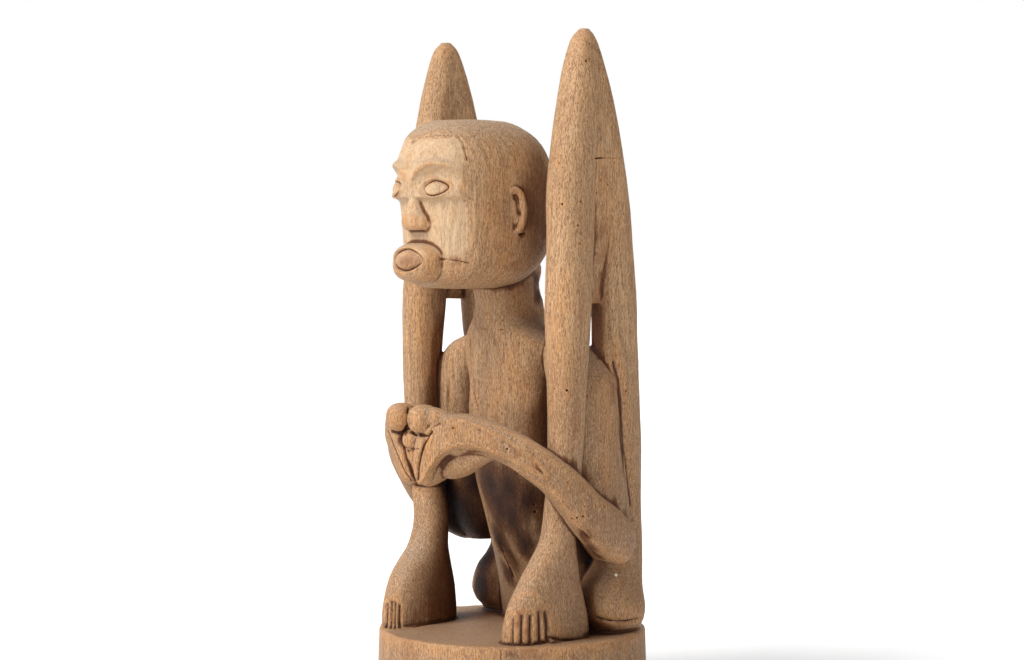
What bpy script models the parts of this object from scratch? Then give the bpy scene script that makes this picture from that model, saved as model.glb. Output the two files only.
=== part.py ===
"""A carved wooden figure that squats on a low round base, all cut from one log.

The knees rise in two tall points above the head, the arms pass inside the bend of
each knee and come round outside the shins, and the hands meet in front.
The figure faces -Y, its left side is +X, and the origin is the middle of the underside.
"""

import math

import bmesh
import bpy
import numpy as np
from mathutils import Matrix, Vector

# Driving sizes, in metres.
LOG_RADIUS = 0.080
BASE_HEIGHT = 0.045
BASE_FLARE = 0.0015
BASE_RIM_ROUNDING = 0.0015
FIGURE_HEIGHT = 0.355

# How finely the forms are fused, and how many triangles the solid keeps.
VOXEL = 0.0016
FUSE_SMOOTHING_ROUNDS = 3
SOLID_TRIANGLES = 9400
RING_POINTS = 36

WOOD_COLOUR = (0.45, 0.29, 0.17, 1.0)
WOOD_ROUGHNESS = 0.62

# The figure's own pose and proportions. Across and deep are in hundredths of the log's
# radius and heights are in hundredths of the figure's height, counted from the base's top.
# A row of a column is: height, centre across, centre deep, half width, half depth.
SHIN = [
    (99.7, 83.8, 0.5, 3.2, 3.2),
    (98.0, 83.8, -1.0, 8.0, 8.0),
    (94.4, 83.8, -3.3, 11.0, 11.0),
    (88.7, 84.4, -6.3, 14.0, 14.0),
    (80.8, 85.0, -10.0, 16.2, 16.2),
    (73.2, 85.6, -13.5, 16.2, 17.1),
    (65.4, 86.3, -14.4, 15.6, 16.9),
    (55.2, 87.5, -17.5, 15.6, 16.6),
    (49.3, 88.5, -18.5, 14.8, 15.5),
    (42.3, 88.8, -19.4, 13.8, 14.1),
    (36.6, 88.4, -19.6, 12.9, 13.0),
    (29.6, 85.6, -18.8, 12.3, 12.1),
    (22.5, 80.0, -17.0, 12.0, 11.9),
]
THIGH = [
    (99.7, 83.4, 0.8, 3.2, 3.2),
    (98.0, 83.1, 2.0, 7.6, 7.6),
    (94.4, 83.1, 5.1, 10.6, 10.6),
    (88.7, 83.1, 9.4, 13.8, 13.8),
    (80.8, 82.5, 15.0, 16.2, 16.2),
    (73.2, 82.5, 20.4, 16.2, 17.5),
    (65.4, 81.3, 25.4, 15.6, 18.1),
    (55.8, 79.6, 32.0, 15.0, 17.1),
    (49.3, 78.3, 34.3, 15.0, 17.1),
    (39.4, 75.0, 38.8, 15.0, 17.5),
    (31.5, 71.9, 43.1, 15.0, 17.5),
    (23.4, 67.5, 46.3, 15.6, 18.1),
    (16.9, 64.4, 49.4, 16.3, 18.1),
    (11.8, 62.5, 51.0, 16.9, 18.1),
    (7.9, 63.5, 44.5, 20.5, 23.0),
    (4.4, 66.0, 43.0, 23.0, 24.0),
    (2.2, 64.5, 44.0, 22.0, 23.2),
    (0.8, 62.0, 46.0, 19.8, 21.0),
    (-1.5, 59.5, 48.0, 17.0, 18.5),
]
TORSO = [
    (67.0, 0.0, -22.0, 20.0, 20.0),
    (62.0, 0.0, -13.0, 22.5, 23.0),
    (58.5, 0.0, -8.0, 22.5, 23.5),
    (55.2, 0.0, -5.5, 22.0, 23.0),
    (52.6, 0.0, -4.5, 24.5, 24.0),
    (50.4, 0.0, -2.5, 35.0, 25.0),
    (48.0, 0.0, 0.0, 45.0, 25.5),
    (45.0, 0.0, 1.3, 44.0, 26.5),
    (41.0, 0.0, 2.5, 39.0, 27.5),
    (36.6, 0.0, 2.5, 38.5, 28.8),
    (31.0, 0.0, 3.8, 37.5, 28.8),
    (25.4, 0.0, 5.0, 35.0, 27.5),
    (19.7, 0.0, 10.0, 31.3, 26.3),
    (14.1, 0.0, 18.8, 33.0, 26.9),
    (8.5, 0.0, 33.5, 44.0, 30.0),
    (2.8, 0.0, 46.0, 56.0, 32.0),
    (-1.5, 0.0, 47.0, 55.0, 31.0),
]
HEAD = [
    (85.3, 0.0, -41.0, 8.0, 11.0),
    (84.9, 0.0, -41.0, 23.0, 29.0),
    (83.4, 0.0, -39.5, 32.8, 42.0),
    (81.4, 0.0, -37.8, 39.0, 51.0),
    (78.9, 0.0, -36.6, 42.8, 56.2),
    (75.5, 0.0, -35.0, 45.0, 59.0),
    (71.8, 0.0, -34.6, 45.2, 58.5),
    (67.6, 0.0, -34.0, 45.0, 57.5),
    (64.2, 0.0, -35.5, 44.0, 55.0),
    (62.0, 0.0, -38.0, 42.5, 51.5),
    (60.0, 0.0, -41.5, 39.5, 46.0),
    (58.3, 0.0, -45.0, 33.0, 36.5),
    (57.4, 0.0, -48.0, 22.0, 24.0),
]
# Each foot: its ring on the ground, the way that it points, and the ankle above it.
# Rows are: height, centre across, centre deep, half width, half length.
LEFT_FOOT = [
    (22.5, 80.0, -17.0, 12.0, 11.9),
    (17.7, 73.5, -14.4, 12.3, 12.2),
    (15.6, 71.5, -14.2, 12.8, 14.2),
    (13.4, 69.3, -15.2, 13.6, 18.3),
    (11.1, 67.0, -16.4, 14.6, 23.0),
    (9.3, 65.7, -17.2, 15.4, 26.2),
    (7.5, 64.8, -17.9, 16.1, 30.2),
    (5.7, 64.2, -18.4, 16.7, 33.8),
    (3.0, 63.8, -18.6, 17.2, 37.4),
    (0.6, 63.8, -18.7, 17.0, 38.6),
    (-1.5, 63.8, -18.7, 16.0, 37.0),
]
RIGHT_FOOT = [
    (22.5, -77.5, -21.0, 12.0, 11.9),
    (17.7, -70.0, -24.5, 12.4, 12.2),
    (15.0, -67.3, -27.5, 12.9, 13.2),
    (12.5, -65.0, -31.4, 13.6, 15.8),
    (10.5, -62.8, -36.0, 14.6, 21.6),
    (8.5, -61.0, -39.8, 15.7, 26.6),
    (6.3, -59.6, -41.8, 16.6, 30.2),
    (4.3, -59.0, -43.0, 17.3, 32.2),
    (2.2, -58.8, -43.6, 17.7, 33.6),
    (0.4, -58.8, -43.8, 17.7, 33.8),
    (-1.5, -58.8, -43.8, 16.8, 32.5),
]
LEFT_FOOT_TURN = 3.0
RIGHT_FOOT_TURN = 10.0

SHOULDER = [
    (48.8, 52.0, 7.0, 10.0, 10.0),
    (47.5, 57.0, 8.5, 17.0, 17.5),
    (45.4, 62.5, 10.0, 22.5, 22.0),
    (42.5, 67.5, 11.5, 24.5, 24.5),
    (39.4, 69.5, 12.0, 24.0, 25.0),
    (33.8, 71.5, 13.5, 22.0, 25.5),
    (26.8, 73.0, 18.0, 20.5, 25.5),
    (20.5, 74.5, 23.5, 19.0, 22.5),
    (15.5, 76.0, 28.0, 17.5, 18.5),
    (12.6, 77.5, 31.0, 12.5, 12.0),
]
HIP = [
    (21.0, 31.0, 28.0, 11.0, 11.0),
    (17.0, 31.0, 29.0, 16.0, 16.0),
    (13.0, 31.0, 31.0, 17.5, 17.5),
    (9.0, 32.0, 35.0, 17.5, 17.0),
    (5.0, 34.0, 41.0, 16.0, 15.0),
    (2.0, 36.0, 47.0, 12.0, 12.0),
]
# A row of a limb is: across, deep, height, half thickness, half height.
FOREARM = [
    (84.0, 33.0, 14.6, 11.0, 11.0),
    (88.5, 27.0, 15.6, 13.5, 16.0),
    (93.5, 12.0, 18.0, 13.0, 17.5),
    (95.5, -8.0, 21.5, 12.0, 15.5),
    (91.5, -26.0, 26.0, 11.5, 13.5),
    (80.0, -42.0, 29.6, 11.5, 12.8),
    (63.0, -56.0, 32.4, 11.5, 12.5),
    (46.0, -68.0, 33.8, 12.5, 13.6),
    (34.0, -76.0, 33.8, 13.5, 15.4),
    (23.5, -82.0, 33.2, 13.0, 15.5),
    (16.0, -82.0, 31.2, 14.0, 14.5),
    (11.5, -80.5, 28.8, 15.0, 12.0),
    (8.5, -78.0, 26.9, 15.0, 9.5),
    (7.5, -76.5, 25.9, 11.0, 6.5),
]
HAND_HEEL = [
    (54.0, -60.0, 32.0, 8.0, 9.0),
    (40.0, -67.0, 31.0, 11.5, 13.0),
    (28.0, -69.5, 30.0, 13.0, 14.5),
    (18.0, -71.0, 29.2, 13.0, 13.5),
    (11.0, -72.5, 28.8, 11.0, 10.0),
]
FINGER_WEDGE = [
    (33.5, 0.0, -86.0, 8.0, 7.0),
    (31.0, 0.0, -86.5, 8.0, 7.0),
    (28.0, 0.0, -85.0, 5.5, 7.0),
    (25.8, 0.0, -82.0, 3.0, 6.0),
]
# A row of a lump is: across, deep, height, half width, half depth, half height.
THUMB = (13.5, -92.0, 36.2, 11.2, 11.5, 10.4)
KNOB = (0.5, -90.0, 32.6, 8.5, 7.5, 8.6)
EYE = (23.0, -81.0, 73.8, 10.4, 9.0, 5.6)
MOUTH = (0.5, -82.5, 61.8, 23.2, 18.5, 14.6)
MOUTH_SQUARENESS = 3.0
EAR = (44.0, -26.5, 70.4, 6.0, 11.0, 19.0)
NOSE = [
    (76.5, 0.0, -86.0, 4.0, 6.0),
    (74.5, 0.0, -86.5, 4.5, 6.5),
    (71.8, 0.0, -87.0, 6.0, 7.5),
    (69.5, 0.0, -88.0, 9.5, 9.5),
    (68.4, 0.0, -88.5, 12.8, 10.5),
    (67.2, 0.0, -88.0, 12.5, 9.5),
    (66.7, 0.0, -87.5, 8.0, 6.0),
]
SOCKET = (20.5, -97.5, 74.6, 17.5, 13.5, 8.8)
CHEEK = (27.0, -105.0, 67.6, 22.0, 21.0, 19.5)
LIP_HOLLOW = (0.0, -108.0, 66.2, 22.0, 22.5, 8.5)
MOUTH_DISH = (0.0, -105.0, 62.0, 11.5, 7.5, 7.8)
EAR_HOLLOW = (49.5, -28.5, 70.9, 4.6, 5.6, 12.5)
TOE_GAP_WIDTH = 0.0022
TOE_GAP_LENGTH = 0.013
# Each gap between toes: across, deep, and the way that it points in degrees from -Y.
LEFT_TOE_GAPS = [(50.0, -56.0, -6), (58.5, -55.0, 4), (67.0, -52.0, 14), (74.5, -46.0, 26)]
RIGHT_TOE_GAPS = [(-45.0, -78.0, 8), (-53.0, -82.0, 0), (-61.0, -83.0, -6), (-69.0, -79.0, -14)]
TOE_GAP_TOP = 5.2


def at(across, deep, height):
    """A point of the figure, from its shares of the log and of the height."""
    return Vector(
        (
            across / 100 * LOG_RADIUS,
            deep / 100 * LOG_RADIUS,
            BASE_HEIGHT + height / 100 * FIGURE_HEIGHT,
        )
    )


def eased(rows, count):
    """The rows resampled on a smooth curve through them."""
    rows = np.array(rows, float)
    ends = np.vstack([2 * rows[0] - rows[1], rows, 2 * rows[-1] - rows[-2]])
    steps = np.linspace(0, len(rows) - 1, count)
    made = []
    for step in steps:
        i = min(int(step), len(rows) - 2)
        t = step - i
        p0, p1, p2, p3 = ends[i : i + 4]
        made.append(
            0.5
            * (
                2 * p1
                + (p2 - p0) * t
                + (2 * p0 - 5 * p1 + 4 * p2 - p3) * t**2
                + (3 * p1 - p0 - 3 * p2 + p3) * t**3
            )
        )
    return made


def rounded(angle, squareness):
    """A point of a unit ring, which is a circle at 2 and squarer above."""
    c, s = math.cos(angle), math.sin(angle)
    power = 2 / squareness
    return math.copysign(abs(c) ** power, c), math.copysign(abs(s) ** power, s)


def loft(name, rings):
    """A closed form through rings of points, capped flat at both ends."""
    mesh = bmesh.new()
    loops = [[mesh.verts.new(p) for p in ring] for ring in rings]
    for low, high in zip(loops, loops[1:]):
        for i in range(len(low)):
            j = (i + 1) % len(low)
            mesh.faces.new((low[i], low[j], high[j], high[i]))
    mesh.faces.new(reversed(loops[0]))
    mesh.faces.new(loops[-1])
    bmesh.ops.recalc_face_normals(mesh, faces=mesh.faces)
    return placed(name, mesh)


def placed(name, mesh):
    data = bpy.data.meshes.new(name)
    mesh.to_mesh(data)
    mesh.free()
    obj = bpy.data.objects.new(name, data)
    bpy.context.scene.collection.objects.link(obj)
    return obj


def column(name, rows, side=1, squareness=2.3, turn=0.0):
    """An upright form, from rows of height, centre and half sizes."""
    rings = []
    turned = Matrix.Rotation(math.radians(turn), 3, "Z")
    for height, across, deep, half_width, half_depth in eased(rows, 6 * len(rows)):
        centre = at(side * across, deep, height)
        ring = []
        for i in range(RING_POINTS):
            x, y = rounded(2 * math.pi * i / RING_POINTS, squareness)
            reach = Vector((x * half_width, y * half_depth, 0)) / 100 * LOG_RADIUS
            ring.append(centre + turned @ reach)
        rings.append(ring)
    return loft(name, rings)


def limb(name, rows, side=1, squareness=2.3):
    """A form along a bent path, from rows of centre, half thickness and half height."""
    rows = eased(rows, 6 * len(rows))
    centres = [at(side * r[0], r[1], r[2]) for r in rows]
    rings = []
    for i, row in enumerate(rows):
        along = centres[min(i + 1, len(rows) - 1)] - centres[max(i - 1, 0)]
        along.normalize()
        out = Vector((centres[i].x, centres[i].y, 0)).normalized()
        upward = along.cross(out).normalized()
        outward = upward.cross(along).normalized()
        ring = []
        for k in range(RING_POINTS):
            x, y = rounded(2 * math.pi * k / RING_POINTS, squareness)
            ring.append(
                centres[i]
                + outward * (x * row[3] / 100 * LOG_RADIUS)
                + upward * (y * row[4] / 100 * LOG_RADIUS)
            )
        rings.append(ring)
    return loft(name, rings)


def lump(name, row, side=1, squareness=2.0):
    """A rounded lump, from its centre and half sizes."""
    across, deep, height, *half = row
    mesh = bmesh.new()
    bmesh.ops.create_uvsphere(mesh, u_segments=32, v_segments=20, radius=1)
    for vert in mesh.verts:
        vert.co /= sum(abs(c) ** squareness for c in vert.co) ** (1 / squareness)
    size = Matrix.Diagonal([h / 100 * LOG_RADIUS for h in half]).to_4x4()
    moved = Matrix.Translation(at(side * across, deep, height)) @ size
    bmesh.ops.transform(mesh, matrix=moved, verts=mesh.verts)
    return placed(name, mesh)


def toe_gap(across, deep, turn):
    """A narrow blade that parts two toes."""
    mesh = bmesh.new()
    bmesh.ops.create_uvsphere(mesh, u_segments=24, v_segments=16, radius=1)
    tall = TOE_GAP_TOP / 100 * FIGURE_HEIGHT
    size = Matrix.Diagonal((TOE_GAP_WIDTH / 2, TOE_GAP_LENGTH, tall)).to_4x4()
    turned = Matrix.Rotation(math.radians(turn), 4, "Z")
    bmesh.ops.transform(
        mesh, matrix=Matrix.Translation(at(across, deep, 0)) @ turned @ size, verts=mesh.verts
    )
    return placed("toe_gap", mesh)


def carved(obj, cutters):
    """The form with each cutter taken out of it."""
    for cutter in cutters:
        cutter.hide_render = True
        cutter.display_type = "WIRE"
        cut = obj.modifiers.new(cutter.name, "BOOLEAN")
        cut.operation = "DIFFERENCE"
        cut.solver = "EXACT"
        cut.object = cutter
    baked(obj)
    for cutter in cutters:
        bpy.data.objects.remove(cutter)
    return obj


def base():
    """The low round block left of the log under the figure."""
    rings = []
    profile = [
        (-VOXEL * 3, LOG_RADIUS + BASE_FLARE),
        (BASE_HEIGHT - BASE_RIM_ROUNDING, LOG_RADIUS),
        (BASE_HEIGHT, LOG_RADIUS - BASE_RIM_ROUNDING),
    ]
    for height, radius in profile:
        rings.append(
            [
                Vector((radius * math.cos(a), radius * math.sin(a), height))
                for a in np.linspace(0, 2 * math.pi, 96, endpoint=False)
            ]
        )
    return loft("base", rings)


def head():
    """The head's block with its hollows cut, and the features that stand out on it."""
    hollows = [lump("lip_hollow", LIP_HOLLOW)]
    mouth = lump("mouth", MOUTH, squareness=MOUTH_SQUARENESS)
    carved(mouth, [lump("dish", MOUTH_DISH)])
    features = [column("nose", NOSE), mouth]
    for side in (1, -1):
        hollows += [lump("socket", SOCKET, side), lump("cheek", CHEEK, side)]
        features.append(lump("eye", EYE, side))
        features.append(carved(lump("ear", EAR, side), [lump("hollow", EAR_HOLLOW, side)]))
    return [carved(column("head", HEAD, squareness=2.7), hollows)] + features


def foot(name, rows, turn, gaps):
    return carved(column(name, rows, turn=turn), [toe_gap(*gap) for gap in gaps])


def forms():
    made = [base(), column("torso", TORSO), *head()]
    made += [lump("knob", KNOB), column("finger_wedge", FINGER_WEDGE)]
    for side in (1, -1):
        made.append(column("shin", SHIN, side))
        made.append(column("thigh", THIGH, side))
        made.append(column("hip", HIP, side))
        made.append(column("shoulder", SHOULDER, side))
        made.append(limb("forearm", FOREARM, side))
        made.append(limb("hand_heel", HAND_HEEL, side))
        made.append(lump("thumb", THUMB, side))
    made.append(foot("left_foot", LEFT_FOOT, LEFT_FOOT_TURN, LEFT_TOE_GAPS))
    made.append(foot("right_foot", RIGHT_FOOT, RIGHT_FOOT_TURN, RIGHT_TOE_GAPS))
    return made


def joined(name, objects):
    mesh = bmesh.new()
    for obj in objects:
        mesh.from_mesh(obj.data)
        bpy.data.objects.remove(obj)
    return placed(name, mesh)


def baked(obj):
    """The object with its modifiers made part of its mesh."""
    bpy.context.view_layer.update()
    graph = bpy.context.evaluated_depsgraph_get()
    data = bpy.data.meshes.new_from_object(obj.evaluated_get(graph))
    obj.modifiers.clear()
    obj.data = data
    return obj


def fused(obj):
    remesh = obj.modifiers.new("fuse", "REMESH")
    remesh.mode = "VOXEL"
    remesh.voxel_size = VOXEL
    soften = obj.modifiers.new("soften", "SMOOTH")
    soften.iterations = FUSE_SMOOTHING_ROUNDS
    return baked(obj)


def thinned(obj):
    decimate = obj.modifiers.new("thin", "DECIMATE")
    triangles = sum(len(p.vertices) - 2 for p in obj.data.polygons)
    decimate.ratio = min(1.0, SOLID_TRIANGLES / triangles)
    decimate.use_collapse_triangulate = True
    return baked(obj)


def cut_flat(obj):
    """The underside cut flat at the floor."""
    mesh = bmesh.new()
    mesh.from_mesh(obj.data)
    parts = mesh.verts[:] + mesh.edges[:] + mesh.faces[:]
    cut = bmesh.ops.bisect_plane(
        mesh, geom=parts, plane_co=(0, 0, 0), plane_no=(0, 0, -1), clear_outer=True
    )
    edges = [e for e in cut["geom_cut"] if isinstance(e, bmesh.types.BMEdge)]
    bmesh.ops.contextual_create(mesh, geom=edges)
    mesh.to_mesh(obj.data)
    mesh.free()
    return obj


def main():
    for obj in list(bpy.data.objects):
        bpy.data.objects.remove(obj)
    figure = cut_flat(thinned(fused(joined("carved_figure", forms()))))
    wood = bpy.data.materials.new("pale_wood")
    wood.use_nodes = True
    shader = wood.node_tree.nodes["Principled BSDF"]
    shader.inputs["Base Color"].default_value = WOOD_COLOUR
    shader.inputs["Roughness"].default_value = WOOD_ROUGHNESS
    figure.data.shade_smooth()
    figure.data.materials.clear()
    figure.data.materials.append(wood)


main()
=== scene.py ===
import math

import bmesh
import bpy
import numpy as np
from mathutils import Matrix, Vector
from mathutils.bvhtree import BVHTree
from mathutils.kdtree import KDTree


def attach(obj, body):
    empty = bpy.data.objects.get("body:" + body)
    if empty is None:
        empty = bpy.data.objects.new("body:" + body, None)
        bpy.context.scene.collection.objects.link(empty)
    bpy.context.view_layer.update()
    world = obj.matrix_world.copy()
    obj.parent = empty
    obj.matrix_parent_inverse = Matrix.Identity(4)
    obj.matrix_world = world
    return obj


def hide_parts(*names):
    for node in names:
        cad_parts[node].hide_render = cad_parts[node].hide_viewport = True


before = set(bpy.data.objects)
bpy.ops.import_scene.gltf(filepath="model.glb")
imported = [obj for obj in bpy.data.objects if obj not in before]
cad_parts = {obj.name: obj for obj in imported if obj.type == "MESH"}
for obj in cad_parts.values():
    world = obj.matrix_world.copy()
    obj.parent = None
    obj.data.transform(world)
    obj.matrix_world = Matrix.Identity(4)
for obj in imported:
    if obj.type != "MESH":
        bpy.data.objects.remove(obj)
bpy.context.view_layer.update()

# The log that the figure is cut from, in metres. Every form is a share of these.
log = {
    "radius": 0.080,
    "baseHeight": 0.045,
    "baseFlare": 0.0015,
    "rimRounding": 0.0012,
    "spare": 0.006,  # what reaches below the floor until the underside is cut flat
    "basePoints": 240,
    "figureHeight": 0.355,
}

# How finely the wood is fused and how many triangles it keeps.
fineness = {
    "voxel": 0.0007,
    "softenRounds": 3,
    "keptTriangles": 190000,
    "plainShare": 0.6,
    "roundHoles": 1.3,
    "ringPoints": 72,
    "ringsPerRow": 12,
    "headShare": 3,  # how much finer the head's rings are, for the face
    "lumpPoints": (64, 40),
    "skyRays": 24,
    "longestStep": 6.0,  # a line of sight that jumps further than this has left the form
}


def shareToPlace(across, deep, height):
    # across and deep are hundredths of the log's radius, height is hundredths of the figure above its base
    reach = log["radius"] / 100
    return Vector((across * reach, deep * reach, log["baseHeight"] + height / 100 * log["figureHeight"]))


def ramp(value, low, high):
    t = np.clip((value - low) / (high - low), 0, 1)
    return t * t * (3 - 2 * t)


def smoothRows(rows, count):
    # a smooth curve through every row
    rows = np.array(rows, float)
    ends = np.vstack([2 * rows[0] - rows[1], rows, 2 * rows[-1] - rows[-2]])
    made = []
    for step in np.linspace(0, len(rows) - 1, count):
        i = min(int(step), len(rows) - 2)
        t = step - i
        a, b, c, d = ends[i:i + 4]
        bent = 2 * b + (c - a) * t + (2 * a - 5 * b + 4 * c - d) * t ** 2
        made.append(0.5 * (bent + (3 * b - a - 3 * c + d) * t ** 3))
    return np.array(made)


# The camera looks at the figure's left front, a little above its waist.
view = {
    "turn": 52.0,
    "distance": 1.428,
    "height": 0.283,
    "wide": 1024,
    "tall": 660,
    "pixels": 2380.0,  # the lens's length, in the picture's pixels
    "drop": 100.0,  # how far its middle looks below level, in the same pixels
    "sensor": 36.0,
}
turn = math.radians(view["turn"])
viewRight = Vector((math.cos(turn), math.sin(turn), 0))
viewNear = Vector((math.sin(turn), -math.cos(turn), 0))
viewPlace = viewNear * view["distance"] + Vector((0, 0, view["height"]))
pitch = math.atan(view["drop"] / view["pixels"])
viewAhead = -viewNear * math.cos(pitch) - Vector((0, 0, math.sin(pitch)))
viewUp = viewRight.cross(viewAhead)


def setCamera():
    lens = bpy.data.cameras.new("camera")
    lens.sensor_width = view["sensor"]
    lens.lens = lens.sensor_width * view["pixels"] / view["wide"]
    lens.dof.use_dof = False
    eye = bpy.data.objects.new("camera", lens)
    bpy.context.scene.collection.objects.link(eye)
    eye.location = viewPlace
    eye.rotation_mode = "QUATERNION"
    eye.rotation_quaternion = viewAhead.to_track_quat("-Z", "Y")
    bpy.context.scene.camera = eye


def sightWay(x, y):
    # the way from the camera through a column and row of the picture
    across = (x - view["wide"] / 2) / view["pixels"]
    upward = (view["tall"] / 2 - y) / view["pixels"]
    return (viewAhead + viewRight * across + viewUp * upward).normalized()


setCamera()
print("camera set")

# shaping


def keepMesh(name, shape):
    data = bpy.data.meshes.new(name)
    shape.to_mesh(data)
    shape.free()
    made = bpy.data.objects.new(name, data)
    bpy.context.scene.collection.objects.link(made)
    return made


def skin(name, rings):
    shape = bmesh.new()
    loops = [[shape.verts.new(p) for p in ring] for ring in rings]
    for low, high in zip(loops, loops[1:]):
        for i in range(len(low)):
            j = (i + 1) % len(low)
            shape.faces.new((low[i], low[j], high[j], high[i]))
    shape.faces.new(reversed(loops[0]))
    shape.faces.new(loops[-1])
    bmesh.ops.recalc_face_normals(shape, faces=shape.faces)
    return keepMesh(name, shape)


def ringShape(squareness, count):
    # a unit ring, round at squareness 2 and boxier above
    shape = []
    power = 2 / squareness
    for angle in np.linspace(0, 2 * math.pi, count, endpoint=False):
        c, s = math.cos(angle), math.sin(angle)
        shape.append((math.copysign(abs(c) ** power, c), math.copysign(abs(s) ** power, s)))
    return shape


def column(name, rows, side=1, squareness=2.3, turned=0.0, finer=1):
    # rows: height, across, deep, half width, half depth
    spin = Matrix.Rotation(math.radians(turned), 3, "Z")
    reach = log["radius"] / 100
    shape = ringShape(squareness, fineness["ringPoints"] * finer)
    rings = []
    count = fineness["ringsPerRow"] * finer * len(rows)
    for height, across, deep, halfWidth, halfDepth in smoothRows(rows, count):
        middle = shareToPlace(side * across, deep, height)
        ring = [Vector((x * halfWidth * reach, y * halfDepth * reach, 0)) for x, y in shape]
        rings.append([middle + spin @ point for point in ring])
    return skin(name, rings)


def limb(name, rows, side=1, squareness=2.3, outside=None):
    # rows: across, deep, height, half thickness, half height, along a bent path
    rows = smoothRows(rows, fineness["ringsPerRow"] * len(rows))
    reach = log["radius"] / 100
    shape = ringShape(squareness, fineness["ringPoints"])
    middles = [shareToPlace(side * r[0], r[1], r[2]) for r in rows]
    rings = []
    for i, row in enumerate(rows):
        along = (middles[min(i + 1, len(rows) - 1)] - middles[max(i - 1, 0)]).normalized()
        outward = outside or Vector((middles[i].x, middles[i].y, 0)).normalized()
        upward = along.cross(outward).normalized()
        outward = upward.cross(along).normalized()
        thick, tall = row[3:]
        rings.append([
            middles[i] + outward * (x * thick * reach) + upward * (y * tall * reach) for x, y in shape
        ])
    return skin(name, rings)


def lump(name, across, deep, height, half, side=1, squareness=2.0):
    shape = bmesh.new()
    around, rows = fineness["lumpPoints"]
    bmesh.ops.create_uvsphere(shape, u_segments=around, v_segments=rows, radius=1)
    for vert in shape.verts:
        vert.co /= sum(abs(c) ** squareness for c in vert.co) ** (1 / squareness)
    size = Matrix.Diagonal([h / 100 * log["radius"] for h in half]).to_4x4()
    middle = Matrix.Translation(shareToPlace(side * across, deep, height))
    bmesh.ops.transform(shape, matrix=middle @ size, verts=shape.verts)
    return keepMesh(name, shape)


# the base, left as a low slice of the log


def makeBase():
    radius, height, rim = log["radius"], log["baseHeight"], log["rimRounding"]
    profile = [(-log["spare"], radius + log["baseFlare"]), (height - rim, radius), (height, radius - rim)]
    rings = []
    for z, reach in profile:
        angles = np.linspace(0, 2 * math.pi, log["basePoints"], endpoint=False)
        rings.append([Vector((reach * math.cos(a), reach * math.sin(a), z)) for a in angles])
    return skin("base", rings)


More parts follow.
